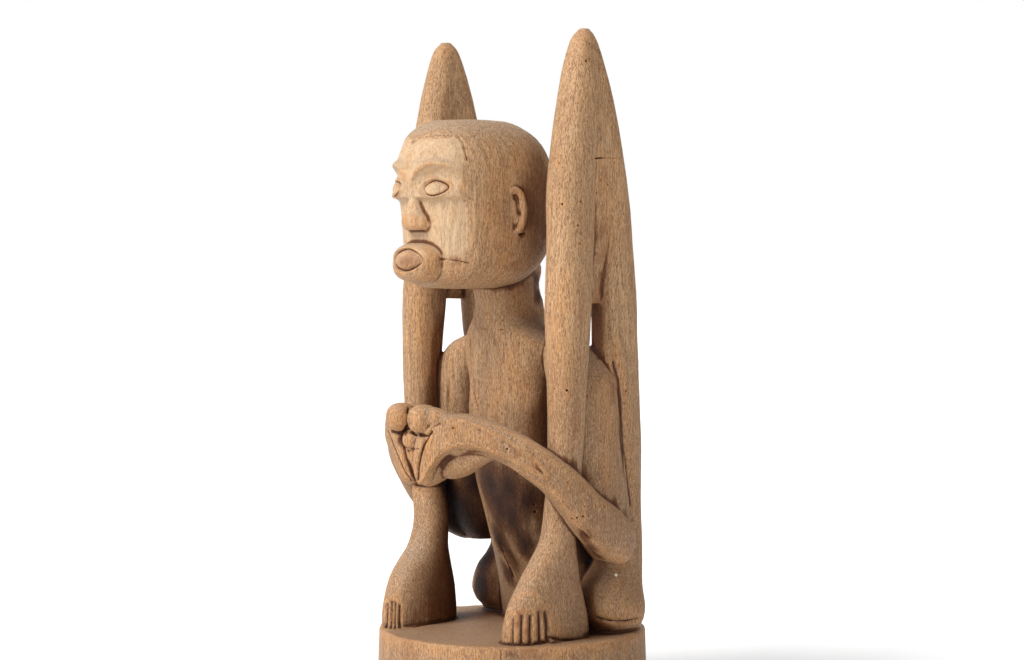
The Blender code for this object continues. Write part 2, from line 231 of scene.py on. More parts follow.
# the legs, which meet above the head in two tall points
leg = {
    "shin": [
        (99.7, 83.8, 0.5, 3.2, 3.2), (98.0, 83.8, -1.0, 8.0, 8.0), (94.4, 83.8, -3.3, 11.0, 11.0),
        (88.7, 84.4, -6.3, 14.0, 14.0), (80.8, 85.0, -10.0, 16.2, 16.2), (73.2, 85.6, -13.5, 16.2, 17.1),
        (65.4, 86.3, -14.4, 15.6, 16.9), (55.2, 87.5, -17.5, 15.6, 16.6), (49.3, 88.5, -18.5, 14.8, 15.5),
        (42.3, 88.8, -19.4, 13.8, 14.1), (36.6, 88.4, -19.6, 12.9, 13.0), (29.6, 85.6, -18.8, 12.3, 12.1),
        (22.5, 80.0, -17.0, 12.0, 11.9),
    ],
    "thigh": [
        (99.7, 83.4, 0.8, 3.2, 3.2), (98.0, 83.1, 2.0, 7.6, 7.6), (94.4, 83.1, 5.1, 10.6, 10.6),
        (88.7, 83.1, 9.4, 13.8, 13.8), (80.8, 82.5, 15.0, 16.2, 16.2), (73.2, 82.5, 20.4, 16.2, 17.5),
        (65.4, 81.3, 25.4, 15.6, 18.1), (55.8, 79.6, 32.0, 15.0, 17.1), (49.3, 78.3, 34.3, 15.0, 17.1),
        (39.4, 75.0, 38.8, 15.0, 17.5), (31.5, 71.9, 43.1, 15.0, 17.5), (23.4, 67.5, 46.3, 15.6, 18.1),
        (16.9, 64.4, 49.4, 16.3, 18.1), (11.8, 62.5, 51.0, 16.9, 18.1), (7.9, 63.5, 44.5, 20.5, 23.0),
        (4.4, 66.0, 43.0, 23.0, 24.0), (2.2, 64.5, 44.0, 22.0, 23.2), (0.8, 62.0, 46.0, 19.8, 21.0),
        (-1.5, 59.5, 48.0, 17.0, 18.5),
    ],
    "kneeFill": [
        (96.0, 83.5, 0.5, 8.5, 8.0), (92.0, 83.6, 1.3, 12.0, 13.0), (88.7, 83.7, 1.5, 13.8, 16.0),
        (84.5, 83.8, 2.0, 14.8, 19.0), (80.8, 83.8, 2.5, 15.2, 21.0), (77.0, 83.9, 3.2, 15.2, 22.0),
        (73.5, 84.0, 3.9, 14.8, 22.5), (70.0, 83.9, 4.8, 14.0, 22.0), (66.5, 83.7, 5.5, 12.6, 21.0),
        (63.5, 83.4, 6.2, 10.6, 19.5), (61.0, 83.1, 6.9, 8.0, 17.5), (58.5, 83.0, 7.4, 5.6, 16.0),
        (56.5, 83.0, 7.8, 3.6, 14.0), (55.0, 83.0, 8.1, 1.6, 12.0),
    ],
    "leftFoot": [
        (22.5, 80.0, -17.0, 12.0, 11.9), (17.7, 73.5, -14.4, 12.3, 12.2), (15.6, 71.5, -14.2, 12.8, 14.2),
        (13.4, 69.3, -15.2, 13.6, 18.3), (11.1, 67.0, -16.4, 14.6, 23.0), (9.3, 65.7, -17.2, 15.4, 26.2),
        (7.5, 64.8, -17.9, 16.1, 30.2), (5.7, 64.2, -18.4, 16.7, 33.8), (3.0, 63.8, -18.6, 17.2, 37.4),
        (0.6, 63.8, -18.7, 17.0, 38.6), (-1.5, 63.8, -18.7, 16.0, 37.0),
    ],
    "rightFoot": [
        (22.5, 77.5, -21.0, 12.0, 11.9), (17.7, 70.0, -24.5, 12.4, 12.2), (15.0, 67.3, -27.5, 12.9, 13.2),
        (12.5, 65.0, -31.4, 13.6, 15.8), (10.5, 62.8, -36.0, 14.6, 21.6), (8.5, 61.0, -39.8, 15.7, 26.6),
        (6.3, 59.6, -41.8, 16.6, 30.2), (4.3, 59.0, -43.0, 17.3, 32.2), (2.2, 58.8, -43.6, 17.7, 33.6),
        (0.4, 58.8, -43.8, 17.7, 33.8), (-1.5, 58.8, -43.8, 16.8, 32.5),
    ],
    "leftTurn": 3.0,
    "rightTurn": 10.0,
    "leftSquareness": 2.3,
    "rightSquareness": 2.6,
}


def makeLegs():
    made = []
    for side in (1, -1):
        made += [column(name, leg[name], side) for name in ("shin", "thigh", "kneeFill")]
    made.append(column("leftFoot", leg["leftFoot"], 1, leg["leftSquareness"], leg["leftTurn"]))
    made.append(column("rightFoot", leg["rightFoot"], -1, leg["rightSquareness"], leg["rightTurn"]))
    return made


# the trunk and the arms, which pass inside the bent knees and come round in front
trunk = {
    "torso": [
        (67.0, 0.0, -22.0, 20.0, 20.0), (62.0, 0.0, -13.0, 22.5, 23.0), (58.5, 0.0, -8.0, 22.5, 23.5),
        (55.2, 0.0, -5.5, 22.0, 23.0), (52.6, 0.0, -4.5, 24.5, 24.0), (50.4, 0.0, -2.5, 35.0, 25.0),
        (48.0, 0.0, 0.0, 45.0, 25.5), (45.0, 0.0, 1.3, 44.0, 26.5), (41.0, 0.0, 2.5, 39.0, 27.5),
        (36.6, 0.0, 2.5, 38.5, 28.8), (31.0, 0.0, 3.8, 37.5, 28.8), (25.4, 0.0, 5.0, 35.0, 27.5),
        (19.7, 0.0, 10.0, 31.3, 26.3), (14.1, 0.0, 18.8, 33.0, 26.9), (8.5, 0.0, 33.5, 44.0, 30.0),
        (2.8, 0.0, 46.0, 56.0, 32.0), (-1.5, 0.0, 47.0, 55.0, 31.0),
    ],
    "nape": [
        (66.0, 0.0, -14.0, 19.0, 24.0), (62.0, 0.0, -6.0, 19.0, 26.0), (60.3, 0.0, -4.0, 19.5, 27.0),
        (58.0, 0.0, -4.5, 19.5, 25.0), (56.5, 0.0, -3.5, 20.0, 25.0), (55.0, 0.0, -1.5, 20.5, 25.5),
        (53.0, 0.0, -0.5, 22.0, 25.5), (51.0, 0.0, 0.5, 27.0, 24.5),
    ],
    "hip": [
        (21.0, 31.0, 28.0, 11.0, 11.0), (17.0, 31.0, 29.0, 16.0, 16.0), (13.0, 31.0, 31.0, 17.5, 17.5),
        (9.0, 32.0, 35.0, 17.5, 17.0), (5.0, 34.0, 41.0, 16.0, 15.0), (2.0, 36.0, 47.0, 12.0, 12.0),
    ],
    "shoulder": [
        (48.8, 52.0, 7.0, 10.0, 10.0), (47.5, 57.0, 8.5, 17.0, 17.5), (45.4, 62.5, 10.0, 22.5, 22.0),
        (42.5, 67.5, 11.5, 24.5, 24.5), (39.4, 69.5, 12.0, 24.0, 25.0), (33.8, 71.5, 13.5, 22.0, 25.5),
        (26.8, 73.0, 18.0, 20.5, 25.5), (20.5, 74.5, 23.5, 19.0, 22.5), (15.5, 76.0, 28.0, 17.5, 18.5),
        (12.6, 77.5, 31.0, 12.5, 12.0),
    ],
    "forearm": [
        (84.0, 33.0, 14.6, 11.0, 11.0), (88.5, 27.0, 15.6, 13.5, 16.0), (93.5, 12.0, 18.0, 13.0, 17.5),
        (95.5, -8.0, 21.5, 12.0, 15.5), (91.5, -26.0, 26.0, 11.5, 13.5), (80.0, -42.0, 29.6, 11.5, 12.8),
        (63.0, -56.0, 32.4, 11.5, 12.5), (46.0, -68.0, 33.8, 12.5, 13.6), (34.0, -76.0, 33.8, 13.5, 15.4),
        (23.5, -82.0, 33.2, 13.0, 15.5), (16.0, -82.0, 31.2, 14.0, 14.5), (11.5, -80.5, 28.8, 15.0, 12.0),
        (8.5, -78.0, 26.9, 15.0, 9.5), (7.5, -76.5, 25.9, 11.0, 6.5),
    ],
    "handHeel": [
        (54.0, -60.0, 32.0, 8.0, 9.0), (40.0, -67.0, 31.0, 11.5, 13.0), (28.0, -69.5, 30.0, 13.0, 14.5),
        (18.0, -71.0, 29.2, 13.0, 13.5), (11.0, -72.5, 28.8, 11.0, 10.0),
    ],
    "fingerWedge": [
        (33.5, 0.0, -86.0, 9.0, 7.0), (31.0, 0.0, -86.5, 8.5, 7.0), (28.0, 0.0, -85.0, 5.5, 7.0),
        (25.8, 0.0, -82.0, 3.0, 6.0),
    ],
    "thumbRoot": [
        (14.0, -91.0, 36.4, 8.5, 8.5), (22.0, -87.0, 36.3, 8.5, 8.0), (30.0, -81.5, 35.6, 8.0, 8.0),
        (38.0, -75.5, 35.0, 7.0, 7.0),
    ],
    "thumb": (13.5, -92.0, 36.2, (10.6, 11.5, 10.6)),
    "knob": (-1.0, -90.0, 32.6, (9.5, 8.0, 8.0)),
    "thumbSquareness": 2.3,
    "forearmSquareness": 3.2,
}


def makeTrunk():
    made = [column(name, trunk[name]) for name in ("torso", "nape", "fingerWedge")]
    made.append(lump("knob", *trunk["knob"]))
    for side in (1, -1):
        made += [column("shoulder", trunk["shoulder"], side), column("hip", trunk["hip"], side)]
        made.append(limb("forearm", trunk["forearm"], side, trunk["forearmSquareness"]))
        made += [limb("handHeel", trunk["handHeel"], side), limb("thumbRoot", trunk["thumbRoot"], side)]
        made.append(lump("thumb", *trunk["thumb"], side, trunk["thumbSquareness"]))
    return made


# the head: a long block with flat sides, cut back on its front round the brow, nose and mouth
head = {
    "block": [
        (85.3, 0.0, -41.0, 8.0, 11.0), (84.9, 0.0, -41.0, 23.0, 29.0), (83.4, 0.0, -39.5, 32.8, 42.0),
        (81.4, 0.0, -37.8, 39.0, 51.0), (78.9, 0.0, -36.6, 42.8, 56.2), (75.5, 0.0, -35.0, 45.0, 59.0),
        (71.8, 0.0, -34.6, 45.2, 58.5), (67.6, 0.0, -34.0, 45.0, 57.5), (64.2, 0.0, -35.5, 44.0, 55.0),
        (62.0, 0.0, -38.0, 42.5, 51.5), (60.0, 0.0, -41.5, 39.5, 46.0), (58.3, 0.0, -45.0, 33.0, 36.5),
        (57.4, 0.0, -48.0, 22.0, 24.0),
    ],
    "nose": [
        (75.5, 0.0, -84.0, 4.0, 6.0), (74.0, 0.0, -84.8, 4.6, 7.0), (71.8, 0.0, -85.6, 5.4, 8.2),
        (70.2, 0.0, -86.2, 8.6, 9.5), (69.0, 0.0, -86.6, 12.4, 10.8), (67.8, 0.0, -86.4, 13.6, 10.6),
        (67.0, 0.0, -86.0, 10.5, 8.0),
    ],
    "mouth": (0.5, -82.5, 61.7, (23.2, 18.5, 14.6)),
    "squareness": 2.8,
    "ear": (43.0, -29.8, 70.3, (4.4, 6.4, 15.0)),
    "rimSquareness": 2.0,
    "earRim": [
        (43.6, -36.5, 73.2, 2.0, 2.0), (45.6, -33.2, 73.5, 2.4, 2.4), (46.8, -29.2, 73.0, 2.6, 2.8),
        (47.2, -26.4, 71.3, 2.6, 3.0),
        (47.0, -25.9, 69.6, 2.6, 3.0), (46.4, -27.6, 68.0, 2.8, 3.0), (45.6, -29.6, 67.0, 2.8, 2.8),
        (44.2, -31.5, 66.6, 2.2, 2.2),
    ],
}

# The face's relief, in millimetres: x is across from the middle, z is above the floor.
# A pair that isn't a place is where a form starts and where it is full.
face = {
    "front": (44, 56), "reach": (245, 345),
    "eyeMiddle": (17.6, 307.0), "eyeHalf": (6.3, 4.0), "eyeOut": 2.7, "eyeRound": 1.8,
    "rightEye": (-19, 308), "rightEyeReach": (10, 7), "rightEyeOut": 2.8,
    "lidCut": {"at": 1.07, "wide": 0.13, "deep": 0.9},
    "lid": {"at": 1.42, "wide": 0.18, "under": 1.0, "over": 0.8},
    "socketMiddle": (19.0, 311.5), "socketHalf": (14.5, 9.5), "socketDeep": 3.3, "socketEdge": 0.55,
    "brow": [
        (1.9, 304.0), (2.4, 307.5), (3.9, 311.5), (6.7, 316.0), (9.4, 318.8), (12.8, 320.4),
        (18.1, 321.2), (23.6, 320.9), (28.0, 318.4), (30.6, 314.6), (31.8, 310.5),
    ],
    "browOut": 2.2, "browAbove": 2.7, "browBelow": 1.35, "browEnd": (24, 32),
    "foreheadDeep": 1.2, "foreheadLow": (321, 325), "foreheadHigh": (330, 338), "foreheadEnd": (26, 34),
    "shelf": 301.0, "shelfSoft": 1.2, "cheekDeep": 3.7, "cheekEnd": (29.0, 34.0), "chin": (252, 272),
    "wing": [(7.6, 293.0), (8.6, 290.0), (8.2, 285.5)],
    "wingDeep": 0.6, "wingWide": 0.9, "wingFront": (69, 71),
    "mouthMiddle": (0.8, 265.6), "mouthHalf": (12.6, 6.1), "mouthDeep": 2.6, "mouthCutWide": 0.14,
    "mouthFront": (72, 75), "mouthTop": 280, "plugDeep": 0.5, "plugEdge": 0.15,
}


def lineDistance(flat, line):
    line = np.array(line, float)
    best = np.full(len(flat), 1e9)
    for a, b in zip(line, line[1:]):
        d = b - a
        t = np.clip((flat - a) @ d / max(d @ d, 1e-9), 0, 1)
        best = np.minimum(best, np.linalg.norm(flat - (a + t[:, None] * d), axis=1))
    return best


def faceRelief(x, z):
    # the broad planes of the face, as millimetres outwards; its right eye stands out more than its left
    (eyeX, eyeZ), (reachX, reachZ) = face["rightEye"], face["rightEyeReach"]
    proud = face["rightEyeOut"] * np.exp(-((x - eyeX) / reachX) ** 2 - ((z - eyeZ) / reachZ) ** 2)
    x = np.abs(x)
    flat = np.stack([x, z], axis=1)
    shelf, soft = face["shelf"], face["shelfSoft"]
    side = 1 - ramp(x, *face["cheekEnd"])
    out = -face["cheekDeep"] * ramp(shelf + soft - z, 0, soft * 2) * side * ramp(z, *face["chin"])
    edges = (1 - ramp(z, *face["foreheadHigh"])) * (1 - ramp(x, *face["foreheadEnd"]))
    out -= face["foreheadDeep"] * ramp(z, *face["foreheadLow"]) * edges
    sx, sz = face["socketMiddle"]
    socket = np.hypot((x - sx) / face["socketHalf"][0], (z - sz) / face["socketHalf"][1])
    out -= face["socketDeep"] * ramp(1 - socket, 0, face["socketEdge"]) * ramp(z, shelf, shelf + 2)
    brow = lineDistance(flat, face["brow"])
    arch = np.array(face["brow"][2:])
    half = np.where(z > np.interp(x, *arch.T), face["browAbove"], face["browBelow"])
    out += face["browOut"] * np.exp(-(brow / half) ** 2) * (1 - 0.5 * ramp(x, *face["browEnd"]))
    return out + proud


def makeHead():
    block = column("head", head["block"], 1, head["squareness"], 0.0, fineness["headShare"])
    places = np.empty(len(block.data.vertices) * 3)
    block.data.vertices.foreach_get("co", places)
    places = places.reshape(-1, 3) * 1000
    x, y, z = places.T
    low, high = face["reach"]
    places[:, 1] -= faceRelief(x, z) * ramp(-y, *face["front"]) * (z > low) * (z < high)
    block.data.vertices.foreach_set("co", places.ravel() / 1000)
    made = [block, column("nose", head["nose"]), lump("mouth", *head["mouth"], 1, head["squareness"])]
    for side in (1, -1):
        made.append(lump("ear", *head["ear"], side))
        made.append(limb("earRim", head["earRim"], side, head["rimSquareness"], Vector((side, 0, 0))))
    return made


def bake(made):
    bpy.context.view_layer.update()
    graph = bpy.context.evaluated_depsgraph_get()
    data = bpy.data.meshes.new_from_object(made.evaluated_get(graph))
    made.modifiers.clear()
    old = made.data
    made.data = data
    bpy.data.meshes.remove(old)
    return made


def joinMeshes(name, pieces):
    shape = bmesh.new()
    for piece in pieces:
        shape.from_mesh(piece.data)
        data = piece.data
        bpy.data.objects.remove(piece)
        bpy.data.meshes.remove(data)
    return keepMesh(name, shape)


def fuse(pieces):
    made = joinMeshes("carvedFigure", pieces)
    joined = made.modifiers.new("fuse", "REMESH")
    joined.mode = "VOXEL"
    joined.voxel_size = fineness["voxel"]
    soft = made.modifiers.new("soften", "SMOOTH")
    soft.iterations = fineness["softenRounds"]
    return bake(made)


figure = fuse([makeBase(), *makeLegs(), *makeTrunk(), *makeHead()])
print("forms fused:", len(figure.data.vertices), "points")

# reading and writing all points at once, in millimetres


def readPoints():
    data = figure.data
    places = np.empty(len(data.vertices) * 3, np.float32)
    data.vertices.foreach_get("co", places)
    normals = np.empty(len(data.vertices) * 3, np.float32)
    data.vertex_normals.foreach_get("vector", normals)
    return places.reshape(-1, 3).astype(float) * 1000, normals.reshape(-1, 3).astype(float)


def writePoints(places):
    figure.data.vertices.foreach_set("co", (places / 1000).astype(np.float32).ravel())
    figure.data.update()


def surfaceTree():
    bpy.context.view_layer.update()
    return BVHTree.FromObject(figure, bpy.context.evaluated_depsgraph_get())


def sightPoint(tree, x, y):
    # where the line of sight through a column and row of the picture meets the wood
    return tree.ray_cast(viewPlace, sightWay(x, y))


def sightLine(tree, points):
    points = np.array(points, float)
    found = []
    for a, b in zip(points, points[1:]):
        steps = max(2, int(np.linalg.norm(b - a)))
        for t in np.linspace(0, 1, steps):
            hit = sightPoint(tree, *(a + (b - a) * t))[0]
            if hit is not None:
                found.append(np.array(hit) * 1000)
    return found


def nearLine(places, line, reach):
    # the points within reach of a line, and how far each is from it
    line = np.array(line, float)
    near = np.flatnonzero(np.all((places > line.min(0) - reach) & (places < line.max(0) + reach), axis=1))
    local = places[near]
    best = np.full(len(near), 1e9)
    for a, b in zip(line, line[1:]):
        d = b - a
        if np.linalg.norm(d) < fineness["longestStep"]:
            t = np.clip((local - a) @ d / max(d @ d, 1e-9), 0, 1)
            best = np.minimum(best, np.linalg.norm(local - (a + t[:, None] * d), axis=1))
    keep = best < reach
    return near[keep], best[keep]


def valueNoise(places, size, seed):
    # smooth noise from 0 to 1, with lumps of the given size
    scaled = places / size + seed * 17.31
    cell = np.floor(scaled).astype(np.int64)
    part = scaled - cell
    part = part * part * (3 - 2 * part)
    total = np.zeros(len(places))
    for dx in (0, 1):
        for dy in (0, 1):
            for dz in (0, 1):
                x, y, z = cell[:, 0] + dx, cell[:, 1] + dy, cell[:, 2] + dz
                mixed = (x * 73856093 ^ y * 19349663 ^ z * 83492791 ^ seed * 2654435) & 0xFFFFFF
                mixed = (mixed * 1103515245 + 12345) & 0x7FFFFFFF
                mixed = ((mixed >> 9) ^ mixed) & 0xFFFF
                weight = np.abs(1 - np.array([dx, dy, dz]) - part).prod(axis=1)
                total += weight * mixed / 65535
    return total


# Where the knife works closest, in millimetres: across from the middle, deep and high, each from and to.
closeWork = {
    "eyes": ((0, 30), (-90, -52), (299, 324)),
    "lips": ((0, 16), (-90, -74), (256, 275)),
    "face": ((0, 90), (-90, -56), (252, 338)),
    "faceFront": ((0, 38), (-90, -50), (250, 345)),
    "hands": ((0, 24), (-90, -62), (134, 186)),
    "toes": ((0, 90), (-90, -20), (44, 60)),
    "ears": ((34, 90), (-32, -14), (278, 312)),
}
toesOutside = 58  # the toes' distance from the log's middle


def within(places, zone):
    inside = np.ones(len(places), bool)
    for values, (low, high) in zip((np.abs(places[:, 0]), places[:, 1], places[:, 2]), closeWork[zone]):
        inside &= (values >= low) & (values < high)
    return inside


def refine():
    places = readPoints()[0]
    ends = np.empty(len(figure.data.edges) * 2, np.int32)
    figure.data.edges.foreach_get("vertices", ends)
    middles = places[ends.reshape(-1, 2)].mean(axis=1)
    close = within(middles, "eyes") | within(middles, "lips")
    shape = bmesh.new()
    shape.from_mesh(figure.data)
    shape.edges.ensure_lookup_table()
    wanted = [shape.edges[i] for i in np.flatnonzero(close)]
    bmesh.ops.subdivide_edges(shape, edges=wanted, cuts=1, use_grid_fill=True)
    shape.to_mesh(figure.data)
    shape.free()


cutShape = {"seen": (0.15, 0.6), "ridge": 0.6, "fade": 1.3}  # how cuts fade towards their edges


def oval(dx, dz, half, power):
    return ((np.abs(dx) / half[0]) ** power + (np.abs(dz) / half[1]) ** power) ** (1 / power)


def carveFace(places, normals):
    front = np.flatnonzero(within(places, "faceFront"))
    local = places[front]
    seen = ramp(-normals[front, 1], *cutShape["seen"])
    x, z = np.abs(local[:, 0]), local[:, 2]
    # the eye: two facets that meet in a ridge, a cut line round them, and a thin lid
    dx, dz = x - face["eyeMiddle"][0], z - face["eyeMiddle"][1]
    eye = oval(dx, dz, face["eyeHalf"], face["eyeRound"])
    cut, lid = face["lidCut"], face["lid"]
    out = face["eyeOut"] * np.clip(1 - eye, 0, 1) ** cutShape["ridge"]
    out -= cut["deep"] * np.exp(-((eye - cut["at"]) / cut["wide"]) ** 2)
    out += np.where(dz < 0, lid["under"], lid["over"]) * np.exp(-((eye - lid["at"]) / lid["wide"]) ** 2)
    # the wings of the nose
    wing = lineDistance(np.stack([x, z], axis=1), face["wing"])
    out -= face["wingDeep"] * np.exp(-(wing / face["wingWide"]) ** 2) * ramp(-local[:, 1], *face["wingFront"])
    # the mouth's cut oval, with its plug a little sunk
    mx, mz = face["mouthMiddle"]
    lips = oval(local[:, 0] - mx, z - mz, face["mouthHalf"], face["eyeRound"])
    onMouth = ramp(-local[:, 1], *face["mouthFront"]) * (z < face["mouthTop"])
    out -= onMouth * face["mouthDeep"] * np.exp(-((lips - 1.0) / face["mouthCutWide"]) ** 2)
    out -= onMouth * face["plugDeep"] * ramp(1.0 - lips, 0, face["plugEdge"])
    places[front, 1] -= out * seen


# Cuts and ridges as lines of sight: columns and rows of the picture, then the half width and depth in
# millimetres. A depth below zero is a ridge.
strokes = {
    "left toes": [
        ([(512.5, 619), (512.5, 644)], 1.7, 1.1),
        ([(521.5, 616), (521.5, 644)], 2.0, 1.9),
        ([(530.5, 616), (530.5, 643.5)], 2.0, 2.1),
        ([(539.5, 613), (540, 642)], 2.0, 2.1),
        ([(546, 613), (547.5, 624), (548, 639)], 2.6, 2.6),
        ([(503, 644), (515, 644.6), (530, 644.4), (545, 642)], 1.3, 1.5),
        ([(549, 637), (556, 638.5), (565, 640), (575, 639.5), (589, 637)], 1.5, 1.5),
        ([(515, 598), (524, 593), (533, 593), (540, 600), (544, 610)], 2.6, -0.5),
    ],
    "right toes": [
        ([(387, 604), (386.5, 628)], 1.4, 1.6),
        ([(391.2, 602), (391, 629)], 1.4, 1.6),
        ([(395, 603), (395, 629)], 1.4, 1.6),
        ([(399.5, 606), (399.5, 628)], 1.6, 1.6),
        ([(382, 629), (390, 630.5), (400, 629.3), (420, 626), (440, 622.5), (455, 619)], 1.2, 1.1),
    ],
    "hands": [
        ([(409, 408), (408, 416), (408.5, 424), (406, 431)], 1.6, 1.8),
        ([(391, 431.5), (397, 433), (402, 433.5), (405.5, 431)], 1.7, 2.6),
        ([(414.5, 433), (421, 435.5), (427, 436.5), (431, 432)], 1.7, 2.6),
        ([(431, 431), (434, 427), (440, 423.5), (449, 420.5), (462, 420.5)], 1.3, 0.5),
        ([(401.5, 435), (403, 446), (406, 458), (411, 470), (417, 484)], 1.5, 2.0),
        ([(428, 437), (423.5, 445), (420.5, 455), (418, 466), (417.5, 481)], 1.5, 2.0),
        ([(387.5, 431), (392, 442), (398, 457), (404, 472), (412, 482)], 1.3, 1.3),
        ([(404, 447), (411, 449), (419, 449)], 1.2, 0.6),
    ],
    "forearm": [
        ([(419, 483), (425, 476), (430, 466), (436, 457), (443, 451), (452, 446.5), (462, 444.5),
          (472, 445), (485, 449), (497, 453), (512, 460), (527, 468), (540, 475), (547, 478)], 2.0, -1.2),
        ([(442, 422), (452, 419.5), (465, 421), (480, 427), (495, 434), (510, 442), (525, 452), (538, 462),
          (547, 475)], 1.8, -1.1),
        ([(434, 480), (438, 470), (444, 461), (453, 454), (463, 451.5), (474, 452), (488, 456),
          (505, 463)], 5.0, 1.3),
    ],
    "trunk": [
        ([(470, 336), (470, 352), (471, 375), (474, 395), (477, 409)], 1.8, 1.3),
        ([(450, 352), (451, 375), (452, 405)], 2.5, -0.5),
        ([(613, 362), (619, 380), (621, 405), (623, 440), (627, 475), (631, 505)], 2.2, 1.4),
        ([(597, 618), (606, 621), (618, 622.5), (630, 621), (639, 619)], 1.8, 1.8),
        ([(499, 543), (504, 555), (509, 566), (513, 577)], 1.6, 1.8),
        ([(480, 486), (485, 505), (490, 525), (491, 540)], 2.2, 1.5),
        ([(520, 325), (532, 322), (545, 322)], 3.0, 0.3),
    ],
    "head": [
        ([(412, 143), (418, 138.5), (428, 136), (440, 135), (452, 135.5)], 1.2, 0.5),
        ([(458, 136), (463, 143), (465, 151), (467, 160)], 1.2, 0.5),
        ([(410, 186), (412, 178), (417, 171), (424, 167)], 1.6, -0.4),
        ([(441, 259), (450, 259.5), (460, 261), (470, 263.5)], 1.1, 0.5),
        ([(517, 233.5), (521, 234.5), (525, 233.5)], 1.5, 1.0),
        ([(516, 199), (517, 205), (518.5, 213)], 2.6, 0.9),
        ([(468, 182), (471, 200), (471, 215), (468, 230), (465, 243)], 3.0, 0.25),
    ],
}


def carve():
    places, normals = readPoints()
    carveFace(places, normals)
    writePoints(places)
    tree = surfaceTree()
    for group, lines in strokes.items():
        places, normals = readPoints()
        for points, width, depth in lines:
            line = sightLine(tree, points)
            if len(line) > 1:
                near, far = nearLine(places, line, width)
                deep = depth * (1 - far / width) ** cutShape["fade"]
                places[near] -= normals[near] * deep[:, None]
        writePoints(places)
        print("carved:", group)


# The uneven surface that the knife leaves, longer along the grain, in millimetres.
tooling = {"deep": 0.38, "broad": 10.0, "narrow": 4.5, "alongGrain": 0.45, "seeds": (3, 5), "fromFloor": 1.5,
           "narrowShare": 0.5, "middle": 0.75}


def roughen():
    places, normals = readPoints()
    stretched = places * np.array([1, 1, tooling["alongGrain"]])
    first, second = tooling["seeds"]
    uneven = valueNoise(stretched, tooling["broad"], first)
    uneven = uneven + tooling["narrowShare"] * valueNoise(stretched, tooling["narrow"], second)
    uneven = uneven - tooling["middle"]
    places += normals * (tooling["deep"] * uneven * (places[:, 2] > tooling["fromFloor"]))[:, None]
    writePoints(places)


refine()
carve()
roughen()


# Beetle holes by column and row, with their radius, and dry cracks as lines, with their thickness and depth.
wear = {
    "holes": [
        (586, 61, 0.75), (602, 64, 0.5), (558.6, 163, 0.55), (608, 184.5, 0.75), (600.5, 180, 0.45),
        (593, 193.5, 0.6), (596.5, 193, 0.5), (581, 201.5, 0.65), (562, 204, 0.65), (578, 225.5, 0.7),
        (580, 243.5, 0.6),
        (554, 388.5, 0.55), (567, 390.5, 0.7), (550.5, 401, 0.55), (586.5, 396, 0.55), (626, 391, 0.65),
        (571.5, 518.5, 0.65), (577, 518, 0.65), (583, 516.5, 0.65), (595.5, 506, 0.5), (604, 507, 0.5),
        (534, 504.5, 0.65), (535, 512, 0.9), (568, 482.5, 0.45), (585, 506.5, 0.5), (453, 428, 0.5),
        (507, 449, 0.6),
    ],
    "holeDeep": 4.0,
    "holeShare": 1.1,
    "holeSides": 10,
    "holeTaper": 0.7,
    "holeInside": 0.4,
    "slitEnd": 0.15,
    "slitTaper": 0.3,
    "proud": 0.0006,  # how far a blade stands out of the wood that it cuts, in metres
    "leastStep": 0.0004,
    "edge": 0.3,
    "chalkSpeck": (616, 575),
    "cracks": [
        ([(594, 158.8), (599, 158), (605, 157.8)], 1.1, 3.0),
        ([(604, 157.8), (612, 157.8), (619, 159)], 0.35, 1.2),
        ([(481, 329), (487, 329)], 0.4, 1.2), ([(499, 329.4), (505, 330)], 0.5, 1.2),
        ([(536, 391.5), (541, 391)], 0.5, 1.5),
        ([(475, 429), (483, 431.5)], 0.35, 1.0),
        ([(499, 543), (504, 555), (509, 566), (513, 577)], 0.6, 2.0),
        ([(500.6, 648.8), (501.2, 654), (500.6, 659)], 0.6, 3.0),
    ],
    "baseCrack": {"from": 43.7, "to": 9.0, "column": 501.0, "steps": 14, "thick": 0.5, "deep": 3.0},
    "marks": {
        "left": 505.5, "right": 517.5, "rows": (652.0, 656.5), "count": 5,
        "tall": 2.6, "lean": 0.6, "gap": 0.7, "thick": 0.35, "deep": 0.5,
    },
}
wornSpots = []  # the places of holes and cracks, in millimetres, with the way out of the wood and their reach


def boreCutter(place, normal, radius, deep):
    shape = bmesh.new()
    low, high = radius * wear["holeTaper"] / 1000, radius / 1000
    bmesh.ops.create_cone(
        shape, cap_ends=True, segments=wear["holeSides"], radius1=low, radius2=high, depth=deep / 1000
    )
    spin = normal.to_track_quat("Z", "Y").to_matrix().to_4x4()
    middle = Matrix.Translation(place - normal * (deep * wear["holeInside"] / 1000))
    bmesh.ops.transform(shape, matrix=middle @ spin, verts=shape.verts)
    return keepMesh("bore", shape)


def slitCutter(hits, thick, deep):
    # a blade that is thickest in its middle and comes to nothing at both ends
    rings = []
    for i, (place, normal) in enumerate(hits):
        along = (hits[min(i + 1, len(hits) - 1)][0] - hits[max(i - 1, 0)][0]).normalized()
        across = along.cross(normal).normalized()
        share = i / (len(hits) - 1)
        belly = math.sin(math.pi * share)
        half = thick / 2000 * max(wear["slitEnd"], belly ** 0.5)
        low = place - normal * (deep / 1000 * max(wear["slitTaper"], belly))
        high = place + normal * wear["proud"]
        wide, narrow = across * half, across * half * wear["slitTaper"]
        rings.append([high + wide, high - wide, low - narrow, low + narrow])
    return skin("slit", rings)


def sightHits(tree, points, gap=1.0):
    found = []
    for a, b in zip(np.array(points, float), np.array(points[1:], float)):
        steps = max(2, int(np.linalg.norm(b - a) / gap) + 1)
        for t in np.linspace(0, 1, steps):
            place, normal = sightPoint(tree, *(a + (b - a) * t))[:2]
            if place is not None and (not found or (place - found[-1][0]).length > wear["leastStep"]):
                found.append((place, normal))
    return found


